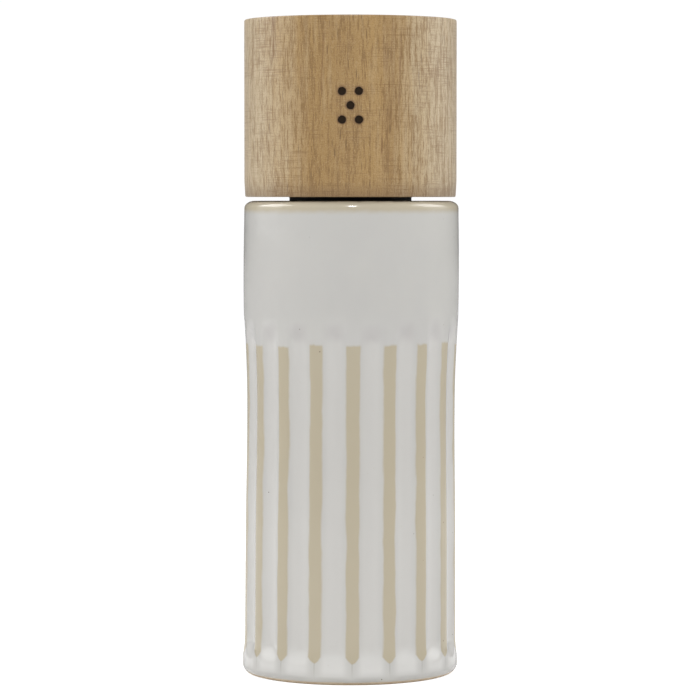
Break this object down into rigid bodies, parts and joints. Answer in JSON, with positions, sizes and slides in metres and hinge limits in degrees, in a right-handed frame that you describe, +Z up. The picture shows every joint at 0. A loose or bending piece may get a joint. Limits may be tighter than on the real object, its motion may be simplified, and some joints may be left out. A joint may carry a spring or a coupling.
{
  "type": "pepper mill",
  "caption": "Slim table mill with a fluted glazed stoneware body, a turned wooden cap that drives the grinder, and an adjusting knob in the base.",
  "frame": {"origin": "centre of the foot, on the surface that the mill stands on", "axes": "+Z up along the mill's axis, the front with the mark on the cap faces -Y"},
  "size_m": [0.0566, 0.0566, 0.17],
  "materials": {
    "glazed_stoneware": "off-white satin glaze that breaks to tan on the ridges, bare clay on the foot ring",
    "turned_wood": "light brown wood with vertical grain, sanded and oiled",
    "black_plastic": "moulded black",
    "white_plastic": "moulded, slightly waxy",
    "silicone": "soft, milky",
    "burr_ceramic": "fired, unglazed, fine grained",
    "spring_steel": "drawn stainless wire and sheet",
    "screw_steel": "stainless, tumbled",
    "shaft_aluminium": "drawn bar, lightly brushed along its length",
    "nut_brass": "turned, unlacquered"
  },
  "bodies": {
    "mill_body": {"stoneware_body": "glazed_stoneware", "mouth_bushing": "black_plastic", "grinder_housing": "black_plastic", "housing_gasket": "silicone", "outer_burr": "burr_ceramic", "burr_retainer": "black_plastic", "retainer_screw_1": "screw_steel", "retainer_screw_2": "screw_steel", "retainer_screw_3": "screw_steel"},
    "drive": {"drive_shaft": "shaft_aluminium", "drive_bush": "white_plastic", "shaft_clip": "spring_steel", "upper_washer": "spring_steel", "burr_spring": "spring_steel"},
    "rotor": {"burr_carrier": "black_plastic", "inner_burr": "burr_ceramic", "lower_washer": "spring_steel"},
    "adjuster": {"adjuster_knob": "black_plastic", "adjuster_nut": "nut_brass"},
    "cap": {"wooden_cap": "turned_wood", "cap_insert": "black_plastic", "grip_ring": "spring_steel", "collar_seal": "silicone", "insert_screw_1": "screw_steel", "insert_screw_2": "screw_steel", "insert_screw_3": "screw_steel"}
  },
  "joints": [
    {"name": "cap_turn", "type": "hinge", "parent": "mill_body", "child": "drive", "pos_m": [0, 0, 0.0368], "axis": [0, 0, 1], "continuous": true},
    {"name": "cap_lift", "type": "slide", "parent": "drive", "child": "cap", "axis": [0, 0, 1], "range_m": [0, 0.05]},
    {"name": "burr_gap", "type": "slide", "parent": "drive", "child": "rotor", "axis": [0, 0, 1], "range_m": [-0.001, 0.00025], "deforming": ["burr_spring"]},
    {"name": "adjuster_turn", "type": "hinge", "parent": "rotor", "child": "adjuster", "pos_m": [0, 0, 0.0044], "axis": [0, 0, 1], "range_deg": [-360, 90]}
  ],
  "couplings": [
    {"joint": "adjuster_turn", "follows": "burr_gap", "rad_per_m": 6283.2}
  ]
}
